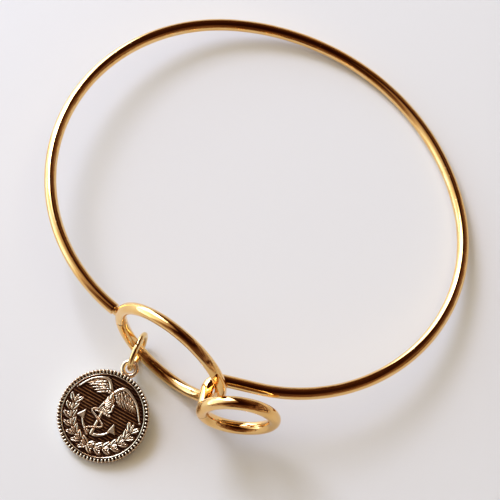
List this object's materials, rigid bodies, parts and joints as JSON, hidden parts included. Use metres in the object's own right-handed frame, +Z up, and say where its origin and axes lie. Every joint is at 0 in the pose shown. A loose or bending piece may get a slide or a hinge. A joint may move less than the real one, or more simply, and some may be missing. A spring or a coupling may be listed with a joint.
{
  "type": "charm bangle",
  "caption": "Open oval wire bangle in polished gold plate with a hook-and-eye clasp, a small pull ring and an antiqued coin charm on a jump ring.",
  "frame": {"origin": "on the table, below the middle of the whole piece's bounding box", "axes": "+Z up from the table; -Y towards the clasp and the charm, so the pull ring is at the front; +X to the right of somebody who looks from the clasp side"},
  "size_m": [0.07, 0.0766, 0.022],
  "materials": {
    "gold_plate": "polished yellow gold plate",
    "pale_gold": "polished pale gold plate",
    "antique_gold": "antiqued gold plate, dark in the recesses"
  },
  "bodies": {
    "root": {"bangle": "gold_plate", "jump_ring": "pale_gold", "charm": "antique_gold"}
  },
  "joints": []
}
